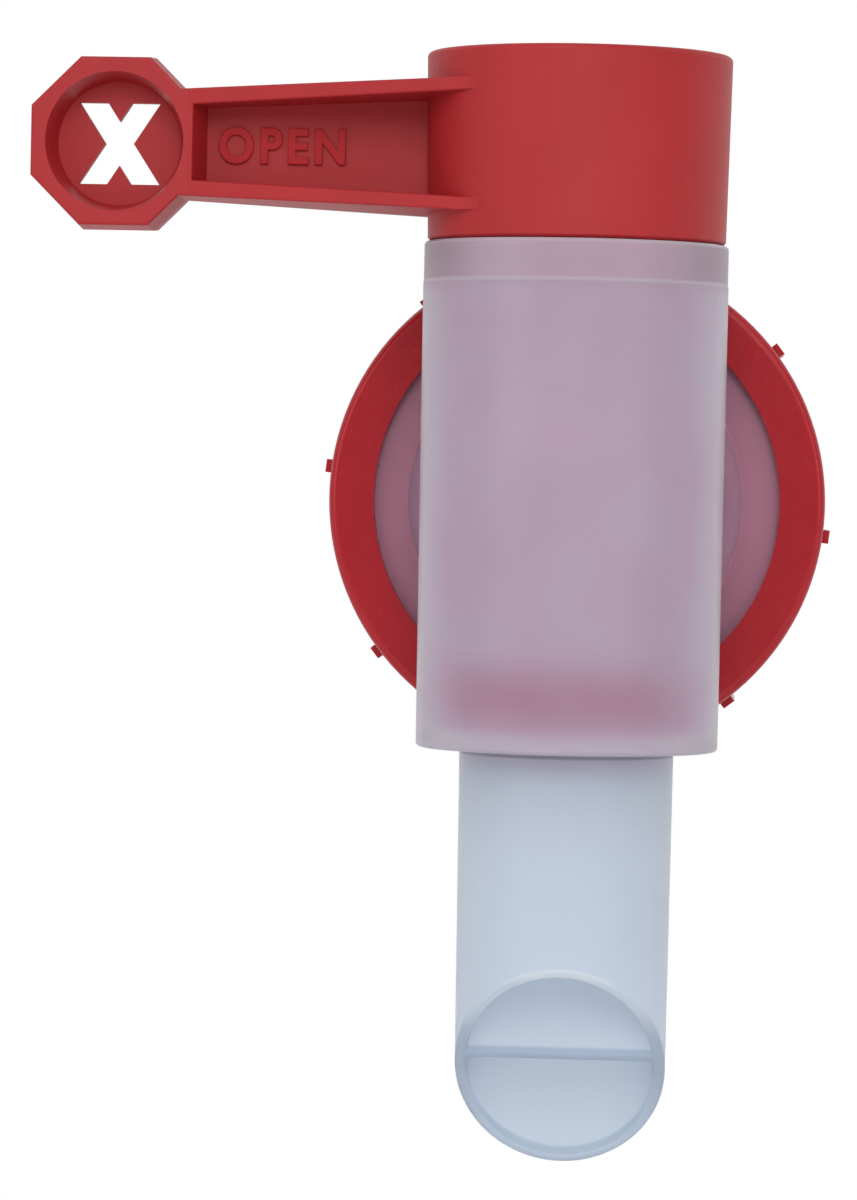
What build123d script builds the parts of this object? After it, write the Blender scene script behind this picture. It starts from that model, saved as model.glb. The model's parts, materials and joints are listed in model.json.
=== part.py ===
from build123d import *
import os
from math import cos, radians, sin, tan

os.makedirs("parts", exist_ok=True)

# Sizes are in millimetres and degrees
# The origin is the middle of the cap's thread where it starts
# +Y runs into the container, +Z is up, and the user stands at -Y

# Clearances
running_gap = 0.08  # plug in its bore, handle spigot in its seat, radially
face_gap = 0.2  # between flat faces that slide past each other
spout_gap = 0.2  # spout in the hole of the barrel floor, radially
pocket_gap = 0.5  # flange in the cap's pocket, radially
hub_gap = 0.05  # hexagonal hub in its socket, on each flat
stop_gap = 1.0  # stop lug to the end of its slot, in degrees
gasket_gap = 0.05  # gasket to flange, taken up as the neck presses
over_cut = 1.0  # how far a cutting tool runs past the face it opens

# Screw cap
cap_diameter = 68.0
cap_lip_hole = 55.6
cap_lip = 2.0
cap_edge_round = 1.2
cap_rim_band = 3.0  # smooth rim in front of the grip ribs
cap_skirt_step = 0.8  # skirt wall lies this far inside the rim
thread_diameter = 60.6
thread_length = 12.5
thread_lead = 0.6
rib_sectors = 8
ribs_per_sector = 10
rib_width = 1.1  # at its root, as far inside the skirt wall as its crest stands out
rib_crest = 0.46
rib_height = 0.6
nub_width = 1.8
nub_height = 1.7
nub_angle = 38.0  # first large rib, from +X towards +Z

# Gasket, flange and inlet neck
gasket_diameter = 57.6
gasket_hole = 44.8
gasket_thickness = 2.0
gasket_setback = 0.05  # free gasket face in front of the thread's start
flange_diameter = 58.0
flange_thickness = 2.2
neck_diameter = 44.4
neck_wall = 2.0
neck_plate = 2.0  # wall that closes the neck beside the barrel
neck_set = 8.0  # from the barrel's axis back to the front of that wall
neck_chamfer = 0.8  # in the corner between neck and flange
cap_to_barrel = 0.9

# Barrel
barrel_diameter = 40.5  # just below the step
barrel_taper = 0.2  # foot inside the step, radially
barrel_wall = 2.25
barrel_bottom = -32.8
barrel_top = 34.15
barrel_floor = 2.5
barrel_edge_round = 0.6
band_step = 0.075  # upper band inside the barrel, radially
band_wall = 1.275
band_level = 28.95  # step outside, seat for the handle's spigot inside
band_chamfer = 0.3

# Ports between the inlet neck and the plug
port_width = 22.0
port_bottom = -13.0
port_top = 13.0
port_corner = 2.0
shelf_level = 5.0  # middle of the shelf that keeps air above and liquid below
shelf_thickness = 1.4

# Plug and spout
plug_wall = 1.8
plug_top = 28.6
plug_plate = 2.0
plug_chamfer = 0.6
shoulder_width = 3.67  # plug's shoulder outside the spout
spout_taper = 0.325  # tip inside the root, radially
spout_wall = 1.5
mouth_front = -61.5
mouth_back = -90.25
mouth_round = 0.5
divider_thickness = 1.4
divider_set = 1.8  # in front of the barrel's axis
hub_sides = 6
hub_flats = 16.0
hub_bore = 11.0

# Lever handle
handle_base = 34.35
handle_top = 59.2
handle_setback = 0.4  # cup's base inside the band, radially
handle_flare = 0.475  # cup's top outside its base, radially
handle_plate = 2.2
handle_edge_round = 0.7
handle_base_chamfer = 0.3
spigot_wall = 1.45
snap_level = 31.75
snap_height = 0.28
snap_width = 1.2
snap_gap = 0.1
socket_wall = 1.3  # round wall of the hexagonal socket at the corners
socket_end = 39.4
web_count = 6
web_thickness = 1.5
web_end = 45.4

# Stop between handle and barrel
lever_swing = 90.0
lug_span = 12.0
lug_angle = 45.0  # middle of the lug with the tap open, from +X towards +Y
lug_thickness = 0.6
lug_drop = 2.0

# Lever and its octagonal head
lever_level = 46.45
lever_root_height = 17.8
lever_head_height = 13.7
lever_draft = 2.0
lever_root_depth = 29.0
lever_root_set = 13.4  # from the axis to where the rails run out in the cup's wall
lever_rail = 2.5  # at the web
lever_web = 1.5
lever_edge_round = 0.3
pocket_draft = 1.2  # along the rails
pocket_end_draft = 12.0
head_set = 61.1
head_sides = 8
head_flats = 22.9
head_depth = 14.0
head_draft = 3.0
head_edge_round = 0.4
head_bridge = 1.2  # rim between the round recess and the pocket, at the front
recess_diameter = 16.4  # at its floor
recess_draft = 9.0
cross_size = 10.8
cross_arm = 3.8

# Places along the inlet axis
gasket_rear = -gasket_setback
flange_rear = gasket_rear - gasket_thickness - gasket_gap
flange_front = flange_rear - flange_thickness
lip_rear = flange_front - face_gap
cap_front = lip_rear - cap_lip
barrel_radius = barrel_diameter / 2
barrel_foot_radius = barrel_radius - barrel_taper
barrel_y = cap_front - cap_to_barrel - barrel_radius
neck_front = barrel_y + neck_set
duct_front = neck_front + neck_plate
skirt_front = cap_front + cap_rim_band
cap_rear = thread_length + thread_lead
rib_step = 360 / rib_sectors / (ribs_per_sector + 1)

# Radii shared by pieces that fit together
bore_radius = barrel_radius - barrel_wall
plug_radius = bore_radius - running_gap
plug_inner = plug_radius - plug_wall
band_radius = barrel_radius - band_step
seat_radius = band_radius - band_wall
spigot_radius = seat_radius - running_gap
handle_inner = spigot_radius - spigot_wall
spout_radius = plug_radius - shoulder_width
spout_tip_radius = spout_radius - spout_taper
cap_radius = cap_diameter / 2
skirt_radius = cap_radius - cap_skirt_step
thread_radius = thread_diameter / 2
flange_radius = flange_diameter / 2
neck_radius = neck_diameter / 2
duct_radius = neck_radius - neck_wall
handle_base_radius = band_radius - handle_setback
handle_top_radius = handle_base_radius + handle_flare
hub_corner = hub_flats / 2 / cos(radians(180 / hub_sides))
socket_radius = hub_corner + hub_gap + socket_wall

# Heights shared by pieces that fit together
floor_top = barrel_bottom + barrel_floor
plug_shoulder = floor_top + face_gap
spigot_end = band_level + face_gap
hub_top = handle_top - handle_plate
spout_end = mouth_back - over_cut
mouth_middle = (mouth_front + mouth_back) / 2
mouth_reach = spout_radius * (mouth_front - mouth_back) / spout_tip_radius
shelf_bottom = shelf_level - shelf_thickness / 2
shelf_top = shelf_level + shelf_thickness / 2

# Lever lengths from the barrel's axis
lever_root_end = handle_inner / 2
head_half = head_depth / 2
recess_depth = head_half - lever_web / 2
recess_mouth = recess_diameter / 2 + recess_depth * tan(radians(recess_draft))
pocket_mouth_end = head_set - recess_mouth - head_bridge
bridge_middle = head_set - recess_mouth - head_bridge / 2
pocket_end = pocket_mouth_end - recess_depth * tan(radians(pocket_end_draft))
pocket_depth = (lever_root_depth - lever_web) / 2
pocket_far_end = pocket_end + pocket_depth * tan(radians(pocket_end_draft))
pocket_spread = pocket_depth * tan(radians(pocket_draft))

# Working planes
barrel_axis = Axis((0, barrel_y, 0), (0, 0, 1))
barrel_plane = Plane(origin=(0, barrel_y, 0), x_dir=(1, 0, 0), z_dir=(0, -1, 0))
barrel_ground = Plane(origin=(0, barrel_y, 0))


def turned_plane(angle):
    """Upright plane through the barrel's axis, its X pointing outwards at this angle."""
    outward = (cos(radians(angle)), sin(radians(angle)), 0)
    facing = (sin(radians(angle)), -cos(radians(angle)), 0)
    return Plane(origin=(0, barrel_y, 0), x_dir=outward, z_dir=facing)


def lever_outline(end, grow):
    """Corners of the lever's side view out to this end, with its long edges moved out by this much."""
    slope = (lever_root_height - lever_head_height) / (head_set - handle_base_radius) / 2
    end_half = lever_root_height / 2 - slope * (end - handle_base_radius) + grow
    root_half = lever_root_height / 2 + slope * (handle_base_radius - lever_root_end) + grow
    return (-end, -end_half), (-lever_root_end, -root_half), (-lever_root_end, root_half), (-end, end_half)


# Openings for liquid and air, the same in the barrel and in the plug
with BuildSketch(barrel_plane) as ports:
    with Locations((0, (port_bottom + shelf_bottom) / 2)):
        RectangleRounded(port_width, shelf_bottom - port_bottom, port_corner)
    with Locations((0, (shelf_top + port_top) / 2)):
        RectangleRounded(port_width, port_top - shelf_top, port_corner)

# Body of the tap: flange and inlet neck behind an upright barrel
with BuildPart() as tap_body:
    with BuildSketch(Plane.YZ):
        with BuildLine():
            Polyline(
                (neck_front, 0),
                (neck_front, neck_radius),
                (flange_front, neck_radius),
                (flange_front, flange_radius),
                (flange_rear, flange_radius),
                (flange_rear, duct_radius),
                (duct_front, duct_radius),
                (duct_front, 0),
                close=True,
            )
        make_face()
    revolve(axis=Axis.Y)
    flange_edges = tap_body.edges().filter_by(GeomType.CIRCLE).group_by(Axis.Y)[-2]
    chamfer(flange_edges.sort_by(SortBy.RADIUS)[0], length=neck_chamfer)
    with BuildSketch(barrel_plane):
        with BuildLine():
            Polyline(
                (0, barrel_bottom),
                (barrel_foot_radius, barrel_bottom),
                (barrel_radius, band_level - band_step),
                (band_radius, band_level),
                (band_radius, barrel_top),
                (0, barrel_top),
                close=True,
            )
        make_face()
    revolve(axis=barrel_axis)
    fillet(tap_body.edges().filter_by(GeomType.CIRCLE).sort_by(Axis.Z)[0], radius=barrel_edge_round)
    chamfer(tap_body.edges().filter_by(GeomType.CIRCLE).sort_by(Axis.Z)[-1], length=band_chamfer)
    # Shelf in the inlet neck
    with BuildSketch(barrel_ground.offset(shelf_bottom)):
        with Locations((0, (duct_front + flange_rear) / 2 - barrel_y)):
            Rectangle(2 * duct_radius, flange_rear - duct_front)
    extrude(amount=shelf_thickness)
    # Seat for the spigot with its snap groove, bore for the plug, hole for the spout
    with BuildSketch(barrel_plane):
        with BuildLine():
            Polyline(
                (0, barrel_bottom - over_cut),
                (spout_radius + spout_gap, barrel_bottom - over_cut),
                (spout_radius + spout_gap, floor_top),
                (bore_radius, floor_top),
                (bore_radius, band_level),
                (seat_radius, band_level),
                (seat_radius, snap_level - snap_width / 2 - snap_gap),
                (seat_radius + snap_height, snap_level - snap_gap),
                (seat_radius + snap_height, snap_level + snap_gap),
                (seat_radius, snap_level + snap_width / 2 + snap_gap),
                (seat_radius, barrel_top + over_cut),
                (0, barrel_top + over_cut),
                close=True,
            )
        make_face()
    revolve(axis=barrel_axis, mode=Mode.SUBTRACT)
    extrude(ports.sketch, amount=-(barrel_radius + over_cut), mode=Mode.SUBTRACT)
    # Slot that the handle's lug runs in
    with BuildSketch(turned_plane(lug_angle - lug_span / 2 - stop_gap)):
        with Locations((seat_radius, band_level - lug_drop)):
            Rectangle(
                seat_radius - bore_radius + over_cut,
                lug_drop + over_cut,
                align=(Align.MAX, Align.MIN),
            )
    revolve(axis=barrel_axis, revolution_arc=lever_swing + lug_span + 2 * stop_gap, mode=Mode.SUBTRACT)
tap_body.part.label = "tap_body"
export_step(tap_body.part, "parts/tap_body.step")

# Hollow of the plug and spout, split by the divider and the shelf
with BuildPart() as chambers:
    with BuildSketch(barrel_plane):
        with BuildLine():
            Polyline(
                (0, plug_top - plug_plate),
                (plug_inner, plug_top - plug_plate),
                (plug_inner, plug_shoulder + plug_wall),
                (spout_radius - spout_wall, plug_shoulder + plug_wall),
                (spout_tip_radius - spout_wall, spout_end),
                (0, spout_end),
                close=True,
            )
        make_face()
    revolve(axis=barrel_axis)
    with BuildSketch(barrel_ground.offset(spout_end)):
        with Locations((0, -divider_set)):
            Rectangle(2 * plug_radius, divider_thickness)
    extrude(amount=shelf_top - spout_end, mode=Mode.SUBTRACT)
    with BuildSketch(barrel_ground.offset(shelf_bottom)):
        with Locations((0, -divider_set)):
            Rectangle(2 * plug_radius, divider_set + plug_radius, align=(Align.CENTER, Align.MIN))
    extrude(amount=shelf_thickness, mode=Mode.SUBTRACT)

# Turning plug with the spout below it
with BuildPart() as spout_plug:
    with BuildSketch(barrel_plane):
        with BuildLine():
            Polyline(
                (0, plug_top),
                (plug_radius, plug_top),
                (plug_radius, plug_shoulder),
                (spout_radius, plug_shoulder),
                (spout_tip_radius, spout_end),
                (0, spout_end),
                close=True,
            )
        make_face()
    revolve(axis=barrel_axis)
    rims = spout_plug.edges().filter_by(GeomType.CIRCLE).group_by(SortBy.RADIUS)[-1]
    chamfer(rims, length=plug_chamfer)
    add(chambers.part, mode=Mode.SUBTRACT)
    extrude(ports.sketch, amount=-(plug_radius + over_cut), mode=Mode.SUBTRACT)
    # Slanted mouth, open to the user
    with BuildSketch(Plane.YZ):
        with BuildLine():
            Polyline(
                (barrel_y - 2 * spout_radius, mouth_middle + mouth_reach),
                (barrel_y + 2 * spout_radius, mouth_middle - mouth_reach),
                (barrel_y - 2 * spout_radius, mouth_middle - mouth_reach),
                close=True,
            )
        make_face()
    extrude(amount=2 * spout_radius, both=True, mode=Mode.SUBTRACT)
    mouth = spout_plug.faces().filter_by(GeomType.PLANE).sort_by(Axis.Z)[0]
    fillet(mouth.edges(), radius=mouth_round)
    # Hexagonal hub that carries the handle
    with BuildSketch(barrel_ground.offset(plug_top)):
        RegularPolygon(hub_flats / 2, hub_sides, major_radius=False)
        Circle(hub_bore / 2, mode=Mode.SUBTRACT)
    extrude(amount=hub_top - plug_top)
spout_plug.part.label = "spout_plug"
export_step(spout_plug.part, "parts/spout_plug.step")

# Screw cap: ribbed skirt, smooth front rim with the lip that holds the flange
with BuildPart() as screw_cap:
    with BuildSketch(Plane.XZ.offset(-cap_rear)):
        Circle(skirt_radius)
        with PolarLocations(skirt_radius, rib_sectors, start_angle=nub_angle):
            Rectangle(2 * nub_height, nub_width)
        for place in range(ribs_per_sector):
            rib_angle = nub_angle + (place + 1) * rib_step
            with PolarLocations(skirt_radius, rib_sectors, start_angle=rib_angle):
                Polygon(
                    (-rib_height, -rib_width / 2),
                    (rib_height, -rib_crest / 2),
                    (rib_height, rib_crest / 2),
                    (-rib_height, rib_width / 2),
                    align=None,
                )
    extrude(amount=cap_rear - skirt_front)
    with BuildSketch(Plane.YZ):
        with BuildLine():
            Polyline(
                (cap_front, 0),
                (cap_front, cap_radius),
                (skirt_front, cap_radius),
                (skirt_front, 0),
                close=True,
            )
        make_face()
    revolve(axis=Axis.Y)
    rim_edges = screw_cap.edges().filter_by(GeomType.CIRCLE).group_by(SortBy.RADIUS)[-1]
    fillet(rim_edges.sort_by(Axis.Y)[0], radius=cap_edge_round)
    # Lip hole, pocket for the flange, thread wall with its lead-in
    with BuildSketch(Plane.YZ):
        with BuildLine():
            Polyline(
                (cap_front - over_cut, 0),
                (cap_front - over_cut, cap_lip_hole / 2),
                (lip_rear, cap_lip_hole / 2),
                (lip_rear, flange_radius + pocket_gap),
                (0, flange_radius + pocket_gap),
                (0, thread_radius),
                (thread_length, thread_radius),
                (cap_rear, thread_radius + thread_lead),
                (cap_rear, 0),
                close=True,
            )
        make_face()
    revolve(axis=Axis.Y, mode=Mode.SUBTRACT)
screw_cap.part.label = "screw_cap"
export_step(screw_cap.part, "parts/screw_cap.step")

# Sealing ring on the rear of the flange
with BuildPart() as neck_gasket:
    with BuildSketch(Plane.XZ.offset(-gasket_rear)):
        Circle(gasket_diameter / 2)
        Circle(gasket_hole / 2, mode=Mode.SUBTRACT)
    extrude(amount=gasket_thickness)
neck_gasket.part.label = "neck_gasket"
export_step(neck_gasket.part, "parts/neck_gasket.step")

# Lever: drafted beam, tapered in plan, with a pocket on each face
with BuildPart() as lever:
    with BuildSketch(barrel_plane):
        with Locations((0, lever_level)):
            Polygon(*lever_outline(head_set, 0), align=None)
    extrude(amount=lever_root_depth / 2, both=True, taper=lever_draft)
    with BuildSketch(barrel_ground):
        with BuildLine():
            Polyline(
                (-head_set, head_half),
                (-bridge_middle, head_half),
                (-lever_root_set, lever_root_depth / 2),
                (0, lever_root_depth / 2),
                (0, -lever_root_depth / 2),
                (-lever_root_set, -lever_root_depth / 2),
                (-bridge_middle, -head_half),
                (-head_set, -head_half),
                close=True,
            )
        make_face()
    extrude(amount=handle_top, mode=Mode.INTERSECT)
    for side in (1, -1):
        with BuildSketch(barrel_plane.offset(side * lever_web / 2)) as pocket_floor:
            with Locations((0, lever_level)):
                Polygon(*lever_outline(pocket_end, -lever_rail), align=None)
        with BuildSketch(barrel_plane.offset(side * lever_root_depth / 2)) as pocket_mouth:
            with Locations((0, lever_level)):
                Polygon(*lever_outline(pocket_far_end, pocket_spread - lever_rail), align=None)
        loft(mode=Mode.SUBTRACT)
    rail_edges = lever.edges().filter_by(lambda edge: abs(edge.center().Y - barrel_y) > recess_depth)
    fillet(rail_edges, radius=lever_edge_round)

# Octagonal head
with BuildPart() as head:
    with BuildSketch(barrel_plane):
        with Locations((-head_set, lever_level)):
            RegularPolygon(head_flats / 2, head_sides, major_radius=False, rotation=180 / head_sides)
    extrude(amount=head_half, both=True, taper=head_draft)
    fillet(head.faces().sort_by(Axis.Y)[0].edges(), radius=head_edge_round)
    fillet(head.faces().sort_by(Axis.Y)[-1].edges(), radius=head_edge_round)
    # Inside the lever it ends under the bridge between recess and pocket
    split(bisect_by=Plane.YZ.offset(-bridge_middle), keep=Keep.BOTTOM)

# Red handle: cup over the barrel, lever and head
with BuildPart() as lever_handle:
    with BuildSketch(barrel_plane):
        with BuildLine():
            Polyline(
                (0, handle_base),
                (handle_base_radius, handle_base),
                (handle_top_radius, handle_top),
                (0, handle_top),
                close=True,
            )
        make_face()
    revolve(axis=barrel_axis)
    fillet(lever_handle.edges().filter_by(GeomType.CIRCLE).sort_by(Axis.Z)[-1], radius=handle_edge_round)
    chamfer(lever_handle.edges().filter_by(GeomType.CIRCLE).sort_by(Axis.Z)[0], length=handle_base_chamfer)
    add(lever.part)
    add(head.part)
    # Round recess on each face of the head, and the cross cut through
    for side in (1, -1):
        with BuildSketch(barrel_plane.offset(side * lever_web / 2)):
            with Locations((-head_set, lever_level)):
                Circle(recess_diameter / 2)
        extrude(amount=side * recess_depth, taper=-recess_draft, mode=Mode.SUBTRACT)
    with BuildSketch(barrel_plane):
        with Locations((-head_set, lever_level)):
            for side in (1, -1):
                Polygon(
                    (-side * cross_size / 2, cross_size / 2),
                    (-side * (cross_size / 2 - cross_arm), cross_size / 2),
                    (side * cross_size / 2, -cross_size / 2),
                    (side * (cross_size / 2 - cross_arm), -cross_size / 2),
                    align=None,
                )
    extrude(amount=lever_web, both=True, mode=Mode.SUBTRACT)
    # Spigot with its snap bead, then the hollow of the cup
    with BuildSketch(barrel_plane):
        with BuildLine():
            Polyline(
                (0, spigot_end),
                (spigot_radius, spigot_end),
                (spigot_radius, snap_level - snap_width / 2),
                (spigot_radius + snap_height, snap_level),
                (spigot_radius, snap_level + snap_width / 2),
                (spigot_radius, handle_base + handle_base_chamfer),
                (0, handle_base + handle_base_chamfer),
                close=True,
            )
        make_face()
    revolve(axis=barrel_axis)
    with BuildSketch(barrel_ground.offset(spigot_end)):
        Circle(handle_inner)
    extrude(amount=hub_top - spigot_end, mode=Mode.SUBTRACT)
    # Hexagonal socket held by webs under the top plate
    with BuildSketch(barrel_ground.offset(hub_top)):
        Circle(socket_radius)
    extrude(amount=-(hub_top - socket_end))
    with BuildSketch(barrel_ground.offset(hub_top)):
        with PolarLocations(0, web_count):
            Rectangle(handle_inner + spigot_wall / 2, web_thickness, align=(Align.MIN, Align.CENTER))
    extrude(amount=-(hub_top - web_end))
    with BuildSketch(barrel_ground.offset(hub_top)):
        RegularPolygon(hub_flats / 2 + hub_gap, hub_sides, major_radius=False)
    extrude(amount=-(hub_top - socket_end), mode=Mode.SUBTRACT)
    # Lug that stops the lever at both ends of its swing
    with BuildSketch(turned_plane(lug_angle - lug_span / 2)):
        with Locations((spigot_radius, band_level - lug_drop + face_gap)):
            Rectangle(lug_thickness, lug_drop + face_gap, align=(Align.MAX, Align.MIN))
    revolve(axis=barrel_axis, revolution_arc=lug_span)
lever_handle.part.label = "lever_handle"
export_step(lever_handle.part, "parts/lever_handle.step")
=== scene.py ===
# %% [markdown]
# # A lever tap for a container neck
# The tap has a milky barrel and spout, a red lever handle on top and a red screw cap behind.
# Its five solids arrive from the CAD frame with their sizes and places settled.
# This lesson gives every surface its finish, adds the raised word on the lever, the blends of its
# rails, the thread inside the cap and the gate mark on the handle, and sets a plain studio round them.

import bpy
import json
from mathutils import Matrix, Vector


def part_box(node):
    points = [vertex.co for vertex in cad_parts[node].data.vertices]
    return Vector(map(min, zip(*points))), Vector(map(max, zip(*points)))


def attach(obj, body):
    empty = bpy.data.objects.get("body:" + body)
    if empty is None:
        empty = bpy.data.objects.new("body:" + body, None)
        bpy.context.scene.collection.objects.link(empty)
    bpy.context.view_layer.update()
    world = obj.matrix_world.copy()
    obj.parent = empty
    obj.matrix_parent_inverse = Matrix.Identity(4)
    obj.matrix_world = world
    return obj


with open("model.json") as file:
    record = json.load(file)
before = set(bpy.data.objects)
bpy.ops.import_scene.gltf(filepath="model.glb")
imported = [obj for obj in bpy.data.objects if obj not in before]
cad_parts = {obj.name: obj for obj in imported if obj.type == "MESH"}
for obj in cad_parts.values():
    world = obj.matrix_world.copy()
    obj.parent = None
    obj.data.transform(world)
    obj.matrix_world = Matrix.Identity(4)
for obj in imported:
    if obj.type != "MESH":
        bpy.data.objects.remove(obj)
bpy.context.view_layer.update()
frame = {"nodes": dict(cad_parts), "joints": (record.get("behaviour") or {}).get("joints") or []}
print("solids:", sorted(frame["nodes"]))

# %% [markdown]
# ## Places to measure from
# The lever turns about the barrel's upright axis, so the joint's own position is that axis.
# The boxes of the solids give the handle's top, the spout's end and the barrel's height.
# Reading them from the frame keeps every later piece in line with the solids.

# %% Read the barrel's axis
import json
import math

import bmesh
import bpy
from mathutils import Matrix, Vector

MM = 0.001
lever_joint = next(joint for joint in frame["joints"] if joint["name"] == "lever_turn")
barrel = Vector(lever_joint["pos_m"])
handle_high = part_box("lever_handle")[1]
spout_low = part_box("spout_plug")[0]
barrel_low, barrel_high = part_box("tap_body")
print(f"barrel axis at y = {barrel.y / MM:.2f} mm, handle top at z = {handle_high.z / MM:.1f} mm")

# %% [markdown]
# ## Shader sums
# A material is a small calculation, and a calculation reads best as a sum.
# One class wraps an output socket, so that `1 - mask` or `0.4 + 0.1 * grain` adds the Math nodes.
# Its one method for all other nodes sets the node's options first and then its sockets.


# %% Wrap a socket
class Wire:
    """An output socket of a node tree, used in a sum as if it were a number."""

    def __init__(self, tree, socket=None):
        self.tree = tree
        self.socket = socket

    def node(self, kind, settings=None, inputs=None, output=0):
        """Adds a node of this type and returns one of its outputs."""
        made = self.tree.nodes.new(kind)
        for name, value in (settings or {}).items():
            setattr(made, name, value)
        for name, value in (inputs or {}).items():
            if isinstance(value, Wire):
                value.feed(made.inputs[name])
            else:
                made.inputs[name].default_value = value
        return Wire(self.tree, made.outputs[output])

    def feed(self, socket):
        """Links this output to an input socket."""
        self.tree.links.new(self.socket, socket)

    def maths(self, operation, first, second=0.0):
        """Adds one Math node."""
        return self.node("ShaderNodeMath", {"operation": operation}, {0: first, 1: second})

    def __add__(self, other):
        return self.maths("ADD", self, other)

    def __sub__(self, other):
        return self.maths("SUBTRACT", self, other)

    def __rsub__(self, other):
        return self.maths("SUBTRACT", other, self)

    def __mul__(self, other):
        return self.maths("MULTIPLY", self, other)

    def __abs__(self):
        return self.maths("ABSOLUTE", self)

    __radd__ = __add__
    __rmul__ = __mul__


print("a wire answers:", [name for name in ("__add__", "__rsub__", "__mul__") if hasattr(Wire, name)])

# %% [markdown]
# ## Masks and mixes
# A finish that changes over a piece needs masks: numbers that go from 0 to 1 where it changes.
# They could be painted, but worked out from Object coordinates they need no image, and they stay
# with the piece when it moves. A smooth step makes nearly all of them, and one colour mix uses them.


# %% Make the masks
def start_material(name):
    """A new material with its shader and a wire that carries Object coordinates."""
    material = bpy.data.materials.new(name)
    material.use_nodes = True
    tree = material.node_tree
    place = Wire(tree).node("ShaderNodeTexCoord", output="Object")
    return material, tree.nodes["Principled BSDF"], place


def split(place):
    """The x, y and z of a position, each as a wire."""
    outputs = place.node("ShaderNodeSeparateXYZ", inputs={"Vector": place}).socket.node.outputs
    return [Wire(place.tree, part) for part in outputs]


def distance_from_axis(place):
    """Distance from the barrel's upright axis in metres."""
    flat = place.node(
        "ShaderNodeVectorMath",
        {"operation": "MULTIPLY_ADD"},
        {0: place, 1: (1.0, 1.0, 0.0), 2: (-barrel.x, -barrel.y, 0.0)},
    )
    return flat.node("ShaderNodeVectorMath", {"operation": "LENGTH"}, {0: flat}, output="Value")


def fade(value, low, high):
    """A smooth step from 0 at the low value to 1 at the high one."""
    return value.node(
        "ShaderNodeMapRange",
        {"interpolation_type": "SMOOTHSTEP"},
        {"Value": value, "From Min": low, "From Max": high},
    )


def stripe(value, middle, core, reach):
    """1 where the value is within the core of the middle, fading to 0 at the reach."""
    return 1 - fade(abs(value - middle), core, reach)


def blend(factor, first, second):
    """A colour between two others."""
    return factor.node("ShaderNodeMix", {"data_type": "RGBA"}, {0: factor, 6: first, 7: second}, output=2)


print("masks:", [mask.__name__ for mask in (distance_from_axis, fade, stripe)])

# %% [markdown]
# ## Patterns that every moulding shares
# A moulded surface is never quite even. The melt flows in soft clouds, the polished steel leaves a
# fine satin grain, and the two mould halves leave a thin ridge where they met.
# Noise of two sizes gives the first two, and a stripe in the plane of the barrel's axis the third.

# %% Make the shared patterns
flow_size = 14 * MM
grain_size = 0.9 * MM
line_width = 0.25 * MM
line_height = 0.03 * MM


def noise(place, size, detail=2.0):
    """Soft noise whose blobs are about this many metres across."""
    return place.node("ShaderNodeTexNoise", inputs={"Vector": place, "Scale": 1 / size, "Detail": detail})


def bump(height):
    """Surface normals for heights given in metres."""
    return height.node("ShaderNodeBump", inputs={"Distance": 1.0, "Height": height}, output="Normal")


def moulded_skin(place, grain, grain_height):
    """Surface normals of a moulding: its grain, and the line where the mould halves met."""
    mould_line = stripe(split(place)[1], barrel.y, 0.0, line_width / 2)
    return bump(grain_height * grain + line_height * mould_line)


print(f"melt clouds {flow_size / MM:.0f} mm across, satin grain {grain_size / MM:.1f} mm")

# %% [markdown]
# ## Red plastic
# The lever handle and the cap are moulded in one strong red. The handle comes from a textured mould
# and has a satin skin, while the cap's mould is smoother and leaves more gloss. The raised word looks
# a little deeper than the lever round it, so it gets a third red.
# A single red would look like paint, so the melt clouds shift it between a deeper and a brighter
# tone, and the grain varies the roughness and lifts the surface by a few thousandths of a millimetre.

# %% Make the red plastic
roughness_swing = 0.12


def red_plastic(name, deep_red, bright_red, roughness, grain_height):
    """Red polyolefin with the skin of its mould."""
    material, shader, place = start_material(name)
    grain = noise(place, grain_size, detail=3.0)
    clouds = noise(place, flow_size)
    blend(clouds, deep_red, bright_red).feed(shader.inputs["Base Color"])
    (roughness + roughness_swing * (grain - 0.5)).feed(shader.inputs["Roughness"])
    moulded_skin(place, grain, grain_height).feed(shader.inputs["Normal"])
    shader.inputs["IOR"].default_value = 1.4
    return material


satin_red = red_plastic(
    "satin_red",
    deep_red=(0.365, 0.014, 0.018, 1.0),
    bright_red=(0.455, 0.020, 0.025, 1.0),
    roughness=0.50,
    grain_height=0.005 * MM,
)
glossy_red = red_plastic(
    "glossy_red",
    deep_red=(0.38, 0.006, 0.014, 1.0),
    bright_red=(0.46, 0.009, 0.019, 1.0),
    roughness=0.25,
    grain_height=0.002 * MM,
)
word_red = red_plastic(
    "word_red",
    deep_red=(0.40, 0.005, 0.010, 1.0),
    bright_red=(0.46, 0.008, 0.013, 1.0),
    roughness=0.60,
    grain_height=0.005 * MM,
)
print("made", satin_red.name, "and", glossy_red.name, "and", word_red.name)
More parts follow.
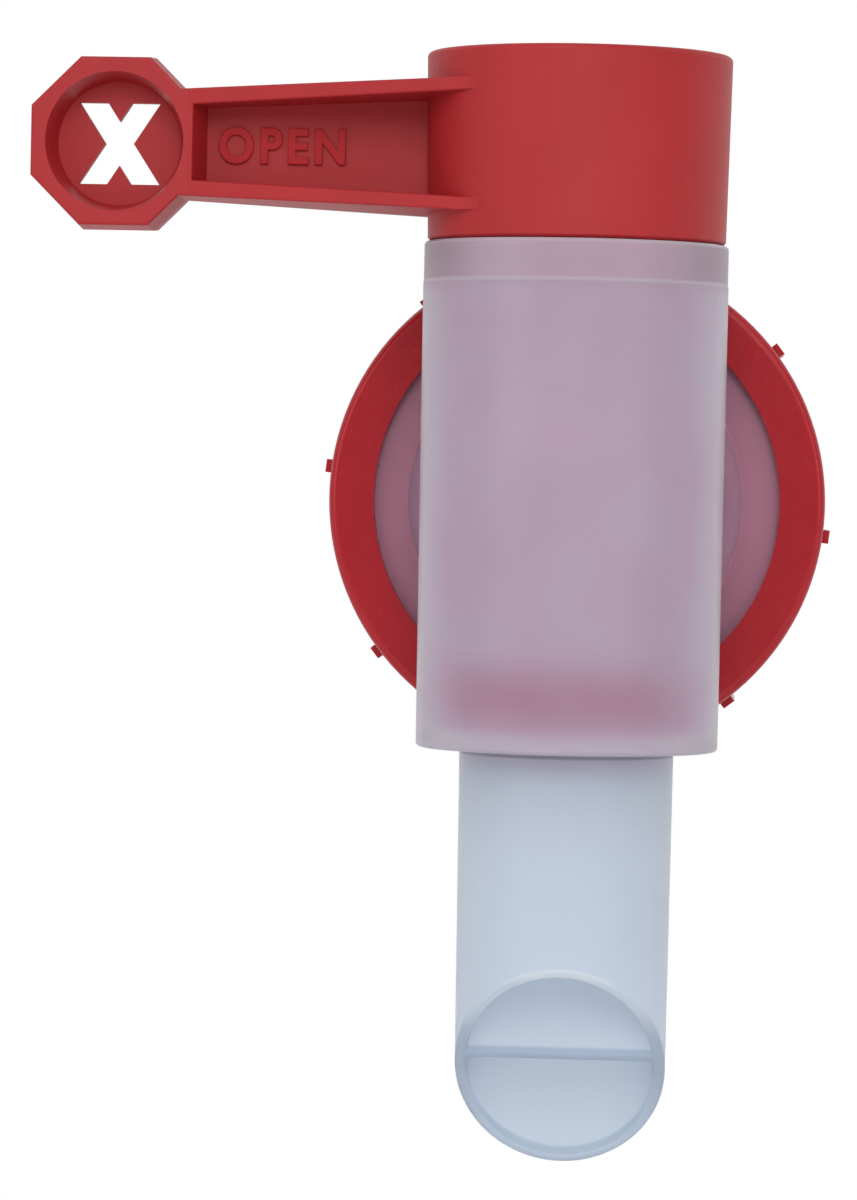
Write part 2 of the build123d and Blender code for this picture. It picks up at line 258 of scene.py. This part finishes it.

# %% [markdown]
# ## The white of the spout
# The barrel and the spout are natural, unpigmented plastic: light goes in, scatters and comes out
# tinted by what it has passed. A volume shader could follow it, but that is slow and can't be baked,
# so the tint, with light and shade, is painted into the colour by the place on the tap, in three layers.
# The first layer is the spout, which hangs clear of the red and stays a cool white. Its inner wall is
# painted greyer, a painted shade in the hollow. Along the cut mouth, where the light runs through the
# wall lengthwise, the lower lip and the end of the divider are painted darker, a painted shade, while the
# upper lip is painted nearly white, a painted highlight, and just under the barrel the spout gets a
# painted shade.

# %% Tint the spout
thin_white = (0.80, 0.87, 0.95, 1.0)
dense_white = (0.84, 0.90, 0.98, 1.0)
# painted highlight for the upper lip
lip_highlight_white = (0.95, 0.98, 1.0, 1.0)
# painted shade for the hollow of the spout
hollow_shade_grey = (0.61, 0.70, 0.81, 1.0)
# painted shade for the lower lip and the divider's end
cut_shade_grey = (0.53, 0.62, 0.74, 1.0)
lip_shade_grey = (0.40, 0.50, 0.63, 1.0)
# painted shade for the spout under the barrel
foot_shade = (0.66, 0.68, 0.78, 1.0)
spout_radius = 13.95 * MM
mouth_front = -61.5 * MM
mouth_slope = (mouth_front - spout_low.z) / (2 * spout_radius)


def spout_tint(clouds, radius, depth, height):
    """Cool white, painted shade inside and along the lower cut, a painted highlight on the upper lip and
    painted shade under the barrel.
    """
    above_cut = height - mouth_front + mouth_slope * (depth + spout_radius)
    low_in_mouth = 1 - fade(height, mouth_front - 10 * MM, mouth_front - 4 * MM)
    high_in_mouth = fade(height, mouth_front - 2.5 * MM, mouth_front - 0.5 * MM)
    # painted shade along the lower part of the cut
    on_shaded_cut = low_in_mouth * stripe(above_cut, 0.0, 0.3 * MM, 0.9 * MM)
    # painted highlight along the upper lip
    upper_lip_highlight = high_in_mouth * (1 - fade(above_cut, 0.25 * MM, 0.6 * MM))
    # painted shade on the inner wall in the hollow
    in_hollow = 1 - fade(radius, spout_radius - 1.1 * MM, spout_radius - 0.6 * MM)
    inner_wall_shade = in_hollow * fade(depth, -1 * MM, 0.0)
    # painted shade on the spout just under the barrel
    under_barrel_shade = fade(height, barrel_low.z - 16 * MM, barrel_low.z)

    wall = blend(inner_wall_shade, blend(clouds, thin_white, dense_white), hollow_shade_grey)
    lip = blend(fade(depth, 3 * MM, 9 * MM), cut_shade_grey, lip_shade_grey)
    white = blend(upper_lip_highlight, blend(on_shaded_cut, wall, lip), lip_highlight_white)
    return blend(0.35 * under_barrel_shade, white, foot_shade)


print(f"the mouth slopes {math.degrees(math.atan(mouth_slope)):.0f} degrees down to the back")

# %% [markdown]
# ## Painted red light, shade and highlights on the barrel
# Light that has wandered past the red cap and handle tints the plastic near them, and this red light is
# painted into the colour: pink in the barrel, redder at its foot, where the cap's rim lies close behind.
# The thin band under the handle is painted duller, a painted shade. Where the wall is seen end on, at its
# sides, step, top and rim, it gathers light, painted as pale highlights. The gap where the spout leaves
# the barrel is painted as a thin dark line, a painted shadow. Each of these is one mask by height or by
# distance to the side, so each can be moved alone.

# %% Tint the barrel
# painted red light bounced from the cap and handle, pink
red_bounce_pink = (0.73, 0.575, 0.705, 1.0)
# painted shade for the band under the handle
under_handle_shade_mauve = (0.58, 0.46, 0.55, 1.0)
# painted red light from the cap's rim behind the foot
foot_red_glow = (0.66, 0.40, 0.53, 1.0)
# painted highlight for the sides, step, top and rim
edge_highlight_white = (0.93, 0.90, 0.95, 1.0)
# painted shadow for the gap where the spout leaves the barrel
gap_shadow_grey = (0.22, 0.21, 0.27, 1.0)
barrel_radius = 20.5 * MM
step_level = 28.9 * MM
foot_glow_level = -25.5 * MM
gap_level = barrel_low.z - 0.55 * MM
thin_core = 0.1 * MM
thin_reach = 0.35 * MM


def on_barrel(height):
    """0 on the spout and 1 on the barrel above it."""
    return fade(height, barrel_low.z - 4 * MM, barrel_low.z + 4 * MM)


def barrel_tint(under, clouds, across, height):
    """Painted red light over the tint that lies under it, with painted highlights at the edges, painted
    shade under the handle and a painted shadow in the gap at the foot.
    """
    below_step = 1 - fade(height, step_level - 2 * MM, step_level)
    at_side = below_step * fade(across, 15 * MM, barrel_radius)
    at_edge_highlight = below_step * fade(across, 18.3 * MM, 20.2 * MM)
    in_handle_shade = fade(height, step_level, step_level + 0.4 * MM) * fade(across, 12 * MM, 19 * MM)
    # painted red light near the foot
    at_foot_glow = stripe(height, foot_glow_level, 0.0, 7 * MM) * (1 - fade(across, 8 * MM, 22 * MM))
    at_rim_highlight = 1 - fade(height, barrel_low.z + 1.5 * MM, barrel_low.z + 3.5 * MM)
    at_top_highlight = fade(height, barrel_high.z - 0.6 * MM, barrel_high.z - 0.3 * MM)
    at_step_highlight = stripe(height, step_level, thin_core, thin_reach)
    at_gap_shadow = stripe(height, gap_level, thin_core, thin_reach)

    # painted red light from the red pieces over the barrel
    pink = blend(on_barrel(height) * (0.5 + 0.9 * clouds) * (1 - 0.5 * at_side), under, red_bounce_pink)
    # painted shade in the band under the handle and painted red light at the foot
    red = blend(at_foot_glow * (0.35 + clouds), blend(in_handle_shade, pink, under_handle_shade_mauve), foot_red_glow)
    # painted highlights where the wall is seen end on
    pale = on_barrel(height) * (0.6 * at_step_highlight + 0.6 * at_top_highlight + 0.55 * at_edge_highlight + 0.45 * at_rim_highlight)
    # painted shadow in the gap below the barrel
    return blend(0.6 * at_gap_shadow, blend(pale, red, edge_highlight_white), gap_shadow_grey)


print(f"barrel from z = {barrel_low.z / MM:.1f} to {barrel_high.z / MM:.1f} mm")

# %% [markdown]
# ## Painted shade and red light on the neck
# The inlet neck runs back from the barrel to the flange that the cap holds. Both belong to the same
# milky moulding, with red all round them. The neck behind the barrel is painted a dark mauve, a painted
# shade with red light in it, and the flange is painted pink, painted red light.
# Distance from the barrel's axis tells the neck from the barrel, and depth tells the flange.

# %% Tint the neck and the flange
# painted shade, with some red light, for the neck behind the barrel
neck_shade_mauve = (0.33, 0.18, 0.26, 1.0)
# painted red light for the flange inside the cap
flange_glow_pink = (0.85, 0.42, 0.58, 1.0)
flange_depth = 22.9 * MM


def neck_tint(under, radius, depth, height):
    """Painted shade, a dark mauve, on the neck behind the barrel and painted red light, pink, on the
    flange inside the cap.
    """
    shaded_behind_barrel = fade(depth, 4 * MM, 8 * MM) * fade(radius, barrel_radius, barrel_radius + 0.8 * MM)
    in_flange_glow = on_barrel(height) * fade(depth, flange_depth, flange_depth + 0.45 * MM)
    # painted shade on the neck behind the barrel
    neck = blend(on_barrel(height) * shaded_behind_barrel, under, neck_shade_mauve)
    # painted red light on the flange
    return blend(in_flange_glow, neck, flange_glow_pink)


print(f"flange {flange_depth / MM:.1f} mm behind the barrel's axis")

# %% [markdown]
# ## Milky plastic
# The three tints, with the light and shade painted into them, lie over each other and become the base
# colour. Rough transmission gives the blur of frosted plastic, and it is the same all over, so it is set
# on the shader's own socket.
# A thin smooth coat on top catches the white room along the edges, as the skin of the moulding does.

# %% Make the milky plastic
milky_roughness = 0.48
frost_swing = 0.14
frost_height = 0.006 * MM


def milky_plastic():
    """Frosted natural polyolefin, with red light, shade and highlights painted into its colour."""
    material, shader, place = start_material("milky_plastic")
    frost = noise(place, grain_size, detail=4.0)
    clouds = noise(place, flow_size)
    sideways, backward, height = split(place)
    across = abs(sideways - barrel.x)
    depth = backward - barrel.y
    radius = distance_from_axis(place)
    spout = spout_tint(clouds, radius, depth, height)
    barrel_with_painted_light = barrel_tint(spout, clouds, across, height)
    neck_tint(barrel_with_painted_light, radius, depth, height).feed(shader.inputs["Base Color"])
    (milky_roughness + frost_swing * frost).feed(shader.inputs["Roughness"])
    moulded_skin(place, frost, frost_height).feed(shader.inputs["Normal"])
    shader.inputs["IOR"].default_value = 1.25
    shader.inputs["Transmission Weight"].default_value = 0.6
    shader.inputs["Coat Weight"].default_value = 0.5
    shader.inputs["Coat Roughness"].default_value = 0.3
    return material


milky = milky_plastic()
print("made", milky.name, "with", len(milky.node_tree.nodes), "nodes")

# %% [markdown]
# ## Sealing rubber
# The gasket behind the flange is a flat ring of soft red rubber. Through the milky flange it gives
# the dull mauve that shows inside the cap's hole. Its skin is matt, with a fine speckle of filler,
# which one noise gives to the colour, the roughness and the bump alike.

# %% Make the sealing rubber
rubber_roughness = 0.72
speckle_swing = 0.15
speckle_size = 0.5 * MM
speckle_height = 0.01 * MM
dull_red = (0.25, 0.018, 0.024, 1.0)
dusty_red = (0.34, 0.035, 0.040, 1.0)


def sealing_rubber():
    """Matt red rubber with a speckle."""
    material, shader, place = start_material("sealing_rubber")
    speckle = noise(place, speckle_size, detail=5.0)
    blend(fade(speckle, 0.35, 0.7), dull_red, dusty_red).feed(shader.inputs["Base Color"])
    (rubber_roughness + speckle_swing * speckle).feed(shader.inputs["Roughness"])
    bump(speckle_height * speckle).feed(shader.inputs["Normal"])
    return material


rubber = sealing_rubber()
print("made", rubber.name)

# %% [markdown]
# ## Dress the solids
# The five solids are the five pieces of the real tap. Each could be copied and refined here, but its
# shape is right as it is. So the CAD meshes stay, and only the material slot of each object changes.

# %% Give each solid its finish
finishes = {
    "tap_body": milky,
    "spout_plug": milky,
    "lever_handle": satin_red,
    "screw_cap": glossy_red,
    "neck_gasket": rubber,
}
for node_name, finish in finishes.items():
    frame["nodes"][node_name].material_slots[0].material = finish
print({node_name: finish.name for node_name, finish in finishes.items()})

# %% [markdown]
# ## The raised word on the lever
# The mould has the word cut into it, so it stands proud of the lever's web.
# A text object gives clean letter outlines, with a small bevel for the rounded edges that a cutter
# leaves. It becomes a mesh, is scaled to the measured word and is set on the front of the web.

# %% Write the word
letters = bpy.data.curves.new("lever_word", "FONT")
letters.body = "OPEN"
letters.extrude = 0.05
letters.bevel_depth = 0.02
letters.bevel_resolution = 2
letters.offset = 0.018
letters.space_character = 1.25
writer = bpy.data.objects.new("lever_word_outline", letters)
bpy.context.scene.collection.objects.link(writer)
bpy.context.view_layer.update()
word = bpy.data.meshes.new_from_object(writer.evaluated_get(bpy.context.evaluated_depsgraph_get()))
bpy.data.objects.remove(writer)
print("letters:", len(word.polygons), "faces")

# %% Raise the word
lever_level = 46.45 * MM
lever_web = 1.5 * MM
word_left = -47.8 * MM
word_width = 16.9 * MM
word_height = 4.9 * MM
word_rise = 0.55 * MM


def corners(mesh):
    """Lowest and highest corner of a mesh."""
    low = Vector(min(vert.co[side] for vert in mesh.vertices) for side in range(3))
    high = Vector(max(vert.co[side] for vert in mesh.vertices) for side in range(3))
    return low, high


def add_piece(name, mesh, body, finish):
    """Links a finished mesh as a piece that rides on a body."""
    piece = bpy.data.objects.new(name, mesh)
    bpy.context.scene.collection.objects.link(piece)
    mesh.materials.clear()
    mesh.materials.append(finish)
    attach(piece, body)
    return piece


word_low, word_high = corners(word)
word_size = word_high - word_low
stretch = (word_width / word_size.x, word_height / word_size.y, word_rise / word_size.z, 1.0)
to_size = Matrix.Diagonal(stretch) @ Matrix.Translation(-word_low)
stand_up = Matrix.Rotation(math.radians(90), 4, "X")
word_place = Vector((word_left, barrel.y - lever_web / 2, lever_level - word_height / 2))
word.transform(Matrix.Translation(word_place) @ stand_up @ to_size)
add_piece("lever_word", word, "rotor", word_red)
print(f"the word is {word_width / MM:.1f} mm long and stands {word_rise / MM:.2f} mm proud")

# %% [markdown]
# ## Blends where the rails run into the cup
# On the real handle each rail sweeps into the round cup in a soft curve, while the solid has a plain
# crease there. In plan, an arc that touches the rail's face and the cup's wall closes that crease.
# Its centre lies one arc radius off both, so one short sum finds it, and the section is then raised
# to the rail's height. Two rails with two faces each need four of them.

# %% Draw the blend in plan
rail_root = Vector((-13.4 * MM, 14.5 * MM))
rail_bridge = Vector((-51.3 * MM, 7.0 * MM))
sweep_radius = 9 * MM
sweep_sink = 0.1 * MM
sweep_steps = 12

along = (rail_bridge - rail_root).normalized()
outward = Vector((along.y, -along.x))


def meet(start, reach):
    """The point at this reach from the barrel's axis, on a line along the rail."""
    ahead_of_axis = start.dot(along)
    return start + (math.sqrt(ahead_of_axis**2 - start.length_squared + reach**2) - ahead_of_axis) * along


def sweep_section(cup_radius):
    """The blend in plan: its arc from the rail to the cup, then the crease behind it."""
    centre = meet(rail_root + sweep_radius * outward, cup_radius + sweep_radius)
    first = math.atan2(-outward.y, -outward.x)
    last = math.atan2(-centre.y, -centre.x)
    angles = [first + (last - first) * step / sweep_steps for step in range(sweep_steps + 1)]
    arc = [centre + sweep_radius * Vector((math.cos(angle), math.sin(angle))) for angle in angles]
    return arc + [meet(rail_root, cup_radius) - sweep_sink * outward]


print(f"the rails lean {math.degrees(math.atan2(-along.y, -along.x)):.1f} degrees in plan")

# %% Raise the four blends
rail_inner = 7.05 * MM
rail_outer = 8.60 * MM
cup_base = 34.35 * MM
cup_base_radius = 19.775 * MM
cup_flare = 0.0191

sweeps = bmesh.new()
for rise in (1, -1):
    low = lever_level + rise * rail_inner
    section = sweep_section(cup_base_radius + cup_flare * (low - cup_base))
    for side in (1, -1):
        spots = [(barrel.x + spot.x, barrel.y - side * spot.y, low) for spot in section]
        foot = sweeps.faces.new([sweeps.verts.new(spot) for spot in spots])
        raised = bmesh.ops.extrude_face_region(sweeps, geom=[foot])["geom"]
        moved = [item for item in raised if isinstance(item, bmesh.types.BMVert)]
        bmesh.ops.translate(sweeps, verts=moved, vec=(0, 0, rise * (rail_outer - rail_inner)))
bmesh.ops.recalc_face_normals(sweeps, faces=sweeps.faces)
print("open edges of the blends:", sum(not edge.is_manifold for edge in sweeps.edges))
sweep_mesh = bpy.data.meshes.new("rail_blends")
sweeps.to_mesh(sweep_mesh)
sweeps.free()
add_piece("rail_blends", sweep_mesh, "rotor", satin_red)

# %% [markdown]
# ## The thread inside the cap
# The cap screws on the container's neck with a coarse ridge that winds round its inner wall.
# The ridge is a small trapezium carried round the axis and back at the same time, which is what a
# spin with an offset for each step does. The two ends then run out into the wall, as a cut mould's do.

# %% Draw the ridge's section
thread_radius = 30.3 * MM
thread_sink = 0.1 * MM
thread_foot = thread_radius + thread_sink
thread_crest = 29.2 * MM
thread_root_width = 2.6 * MM
thread_crest_width = 1.2 * MM
thread_start = 2.4 * MM

winding = bmesh.new()
ridge_section = [
    winding.verts.new((0, thread_start + shift, reach))
    for shift, reach in (
        (-thread_root_width / 2, thread_foot),
        (-thread_crest_width / 2, thread_crest),
        (thread_crest_width / 2, thread_crest),
        (thread_root_width / 2, thread_foot),
    )
]
section_edges = [
    winding.edges.new((ridge_section[corner - 1], ridge_section[corner]))
    for corner in range(len(ridge_section))
]
print(f"thread ridge {(thread_radius - thread_crest) / MM:.1f} mm high")

# %% Wind the thread
thread_pitch = 4.2 * MM
thread_turns = 1.9
steps_per_turn = 96

bmesh.ops.spin(
    winding,
    geom=ridge_section + section_edges,
    cent=(0, 0, 0),
    axis=(0, 1, 0),
    dvec=(0, thread_pitch / steps_per_turn, 0),
    angle=math.tau * thread_turns,
    steps=round(steps_per_turn * thread_turns),
)
print("thread ridge:", len(winding.verts), "vertices")

# %% Run its ends out into the wall
run_out_turns = 0.12

for index, vert in enumerate(winding.verts):
    turn = index // len(ridge_section) / steps_per_turn
    rise = min(1.0, turn / run_out_turns, (thread_turns - turn) / run_out_turns)
    radius = math.hypot(vert.co.x, vert.co.z)
    sunk_radius = max(radius, thread_foot - rise * (thread_foot - thread_crest))
    vert.co.x *= sunk_radius / radius
    vert.co.z *= sunk_radius / radius
bmesh.ops.holes_fill(winding, edges=[edge for edge in winding.edges if edge.is_boundary])
bmesh.ops.recalc_face_normals(winding, faces=winding.faces)
ridge = bpy.data.meshes.new("cap_thread")
winding.to_mesh(ridge)
winding.free()
add_piece("cap_thread", ridge, "cap", glossy_red)
thread_low, thread_high = corners(ridge)
print(f"thread runs from y = {thread_low.y / MM:.1f} to {thread_high.y / MM:.1f} mm")

# %% [markdown]
# ## The gate mark on the handle
# The melt enters the handle's mould in the middle of its top plate. When the runner is broken off, a
# shallow round land with a small stub stays behind. Two low cones, one on the other, make it.

# %% Leave the gate mark
gate_steps = 32
gate_sink = 0.05 * MM
gate_draft = 0.2 * MM
land_radius = 2.4 * MM
land_rise = 0.15 * MM
stub_radius = 0.9 * MM
stub_rise = 0.45 * MM

gate = bmesh.new()
for base_radius, low, high in (
    (land_radius, -gate_sink, land_rise),
    (stub_radius, land_rise - gate_sink, stub_rise),
):
    bmesh.ops.create_cone(
        gate,
        cap_ends=True,
        segments=gate_steps,
        radius1=base_radius,
        radius2=base_radius - gate_draft,
        depth=high - low,
        matrix=Matrix.Translation((barrel.x, barrel.y, handle_high.z + (low + high) / 2)),
    )
gate_mesh = bpy.data.meshes.new("gate_mark")
gate.to_mesh(gate_mesh)
gate.free()
add_piece("gate_mark", gate_mesh, "rotor", satin_red)
print("gate mark:", len(gate_mesh.polygons), "faces")

# %% [markdown]
# ## Floor
# The floor is a plain pale sheet well below the spout. Near the tap it is a matt surface that keeps
# the soft shadow. Further out it fades to the white of the background, so no horizon shows.
# A backdrop that curves up could hide the horizon too, but only from one side.

# %% Lay the floor
floor_drop = 40 * MM
floor_half = 2.0

ground = bmesh.new()
bmesh.ops.create_grid(ground, x_segments=1, y_segments=1, size=floor_half)
bmesh.ops.translate(ground, verts=ground.verts, vec=(0, 0, spout_low.z - floor_drop))
floor_mesh = bpy.data.meshes.new("floor")
ground.to_mesh(floor_mesh)
ground.free()
floor = bpy.data.objects.new("floor", floor_mesh)
bpy.context.scene.collection.objects.link(floor)
print(f"floor at z = {(spout_low.z - floor_drop) / MM:.0f} mm")

# %% Make the pale floor
floor_pale = (0.9, 0.9, 0.9, 1.0)
background_white = (1.0, 1.0, 1.0, 1.0)
shadow_reach = 0.10
white_reach = 0.24


def ray_is(start, *kinds):
    """1 for rays of one of these kinds, as the Light Path node tells them."""
    outputs = start.node("ShaderNodeLightPath").socket.node.outputs
    first, *others = [Wire(start.tree, outputs[f"Is {kind} Ray"]) for kind in kinds]
    return start.maths("MINIMUM", sum(others, first), 1.0)


def pale_floor():
    """Matt pale floor that fades to plain white away from the tap."""
    material, shader, place = start_material("pale_floor")
    shader.inputs["Base Color"].default_value = floor_pale
    shader.inputs["Roughness"].default_value = 0.9
    far = fade(distance_from_axis(place), shadow_reach, white_reach)
    share = far * ray_is(place, "Camera", "Glossy", "Transmission")
    matt = Wire(material.node_tree, shader.outputs[0])
    white = place.node("ShaderNodeEmission", inputs={"Color": background_white, "Strength": 1.0})
    mixed = place.node("ShaderNodeMixShader", inputs={0: share, 1: matt, 2: white})
    mixed.feed(material.node_tree.nodes["Material Output"].inputs["Surface"])
    return material


floor_mesh.materials.append(pale_floor())
print(f"the floor turns white {white_reach / MM:.0f} mm from the tap")

# %% [markdown]
# ## The white room
# The photograph has the even light of a packshot. The world is white where it is seen and softer where
# it only lights the tap, so the background is white without more light on the object.
# What the glossy skins mirror has levels of its own, as in a real studio: dark towards the viewer, a
# bright ring about 45 degrees off that line, and white behind the tap. They come from the direction
# of the ray in the room, not from the camera, so they stay put when the view changes.

# %% Set the room
surround_level = 0.65
front_gloss = 0.15
ring_gloss = 2.2
ring_inner, ring_middle, ring_outer = -0.95, -0.72, -0.4
dark_until, white_from = -0.8, 0.4

world = bpy.data.worlds.new("studio")
bpy.context.scene.world = world
world.use_nodes = True
background = world.node_tree.nodes["Background"]
background.inputs["Color"].default_value = background_white
room = Wire(world.node_tree)
backward = split(room.node("ShaderNodeTexCoord", output="Generated"))[1]
ring = fade(backward, ring_inner, ring_middle) * (1 - fade(backward, ring_middle, ring_outer))
behind = fade(backward, dark_until, white_from)
mirror_level = front_gloss + ring_gloss * ring + (1 - front_gloss) * behind
lit = surround_level + ray_is(room, "Glossy") * (mirror_level - surround_level)
(lit + (1 - lit) * ray_is(room, "Camera", "Transmission")).feed(background.inputs["Strength"])
print(f"the room lights the tap at {surround_level:.2f} of its white")

# %% [markdown]
# ## Lamps
# A broad lamp stands in front of the tap, well above it and nearly in the middle, and gives the soft
# shade under the rails and the cup. A weaker one on the left keeps the lever's end from going flat.
# Square area lamps are enough: their softness comes from their size.


# %% Set the lamps
def soft_lamp(name, place, width, watts):
    """A square soft lamp that points at the barrel."""
    lamp = bpy.data.lights.new(name, "AREA")
    lamp.size = width
    lamp.energy = watts
    holder = bpy.data.objects.new(name, lamp)
    holder.location = place
    holder.rotation_euler = (barrel - Vector(place)).to_track_quat("-Z", "Y").to_euler()
    bpy.context.scene.collection.objects.link(holder)


soft_lamp("front_lamp", place=(0.05, -0.95, 0.44), width=0.45, watts=3.4)
soft_lamp("side_lamp", place=(-0.7, -0.45, 0.35), width=0.6, watts=0.35)

# %% [markdown]
# ## Camera
# The photograph was taken from about seventy centimetres, a touch right of the middle and a little
# above the inlet, with the camera turned slightly on its own axis. The point that has to fall in the
# middle of the picture is worked out from where the barrel's axis stands in the photograph, so the
# lens needs no shift.

# %% Find the view
photo_width, photo_height = 857, 1200
axis_pixel = Vector((571.75, 480.0))
pixel_size = 0.1329 * MM
eye_distance = 0.70
eye_height = 2.9 * MM
eye_turn = math.radians(1.8)
eye_lean = math.radians(1.15)

to_eye = Vector((math.sin(eye_turn), -math.cos(eye_turn), 0.0))
right = Vector((math.cos(eye_turn), math.sin(eye_turn), 0.0))
up = Vector((0.0, 0.0, 1.0))
picture_right = math.cos(eye_lean) * right + math.sin(eye_lean) * up
picture_up = math.cos(eye_lean) * up - math.sin(eye_lean) * right
eye_level_point = Vector((barrel.x, barrel.y, eye_height))
middle_step = (Vector((photo_width / 2, photo_height / 2)) - axis_pixel) * pixel_size
aim = eye_level_point + middle_step.x * picture_right - middle_step.y * picture_up
eye = eye_level_point + eye_distance * to_eye
print("the camera stands at", [round(value, 3) for value in eye], "m")

# %% Place the camera
lens = bpy.data.cameras.new("camera")
lens.lens = lens.sensor_width * eye_distance / (photo_height * pixel_size)
camera = bpy.data.objects.new("camera", lens)
look_back = (eye - aim).normalized()
side = picture_up.cross(look_back).normalized()
turn = Matrix((side, look_back.cross(side), look_back)).transposed()
camera.matrix_world = Matrix.Translation(eye) @ turn.to_4x4()
bpy.context.scene.collection.objects.link(camera)
bpy.context.scene.camera = camera
bpy.context.scene.view_settings.view_transform = "Standard"
print(f"lens {lens.lens:.0f} mm, {eye_distance:.2f} m from the barrel")
